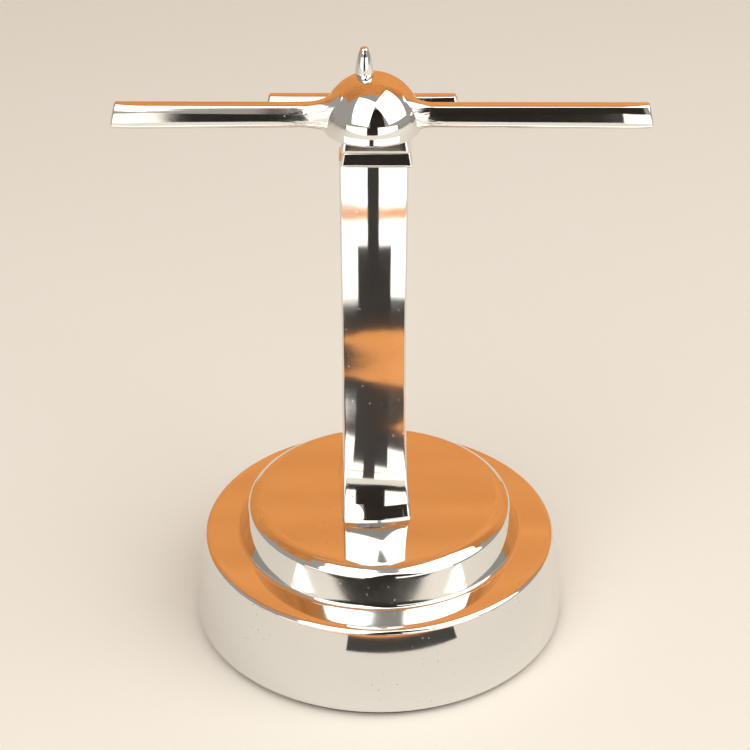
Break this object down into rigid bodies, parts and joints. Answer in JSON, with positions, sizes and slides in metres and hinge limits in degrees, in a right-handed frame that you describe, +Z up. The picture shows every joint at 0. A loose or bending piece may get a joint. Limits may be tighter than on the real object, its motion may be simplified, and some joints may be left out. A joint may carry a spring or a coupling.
{
  "type": "razor stand",
  "caption": "Razor stand: weighted round base, flat post with a flared foot and a domed hub with long front arms, short rear arms and a pointed finial.",
  "frame": {"origin": "middle of the foot pad's underside, on the surface the stand rests on, on the base's axis", "axes": "+Z up; the front of the stand faces -Y; the long arms run along X"},
  "size_m": [0.0912, 0.0698, 0.1138],
  "materials": {
    "base_chrome": "polished",
    "post_chrome": "polished",
    "hub_chrome": "polished",
    "arm_chrome": "hand polished",
    "plated_steel": "zinc plated",
    "cast_weight": "as cast",
    "foot_pad": "matt foam"
  },
  "bodies": {
    "root": {"foot_pad": "foot_pad", "bottom_plate": "plated_steel", "bottom_plate_screws": "plated_steel", "base_drum": "base_chrome", "ballast_weight": "cast_weight", "base_plateau": "base_chrome", "post_screw": "plated_steel", "post_flat_washer": "plated_steel", "post_lock_washer": "plated_steel", "post_locating_pin": "plated_steel", "post": "post_chrome", "collar": "post_chrome", "neck_block": "post_chrome", "hub_stud": "plated_steel", "hub_dome": "hub_chrome", "finial": "hub_chrome", "front_left_arm": "arm_chrome", "front_right_arm": "arm_chrome", "rear_left_arm": "arm_chrome", "rear_right_arm": "arm_chrome"}
  },
  "joints": []
}
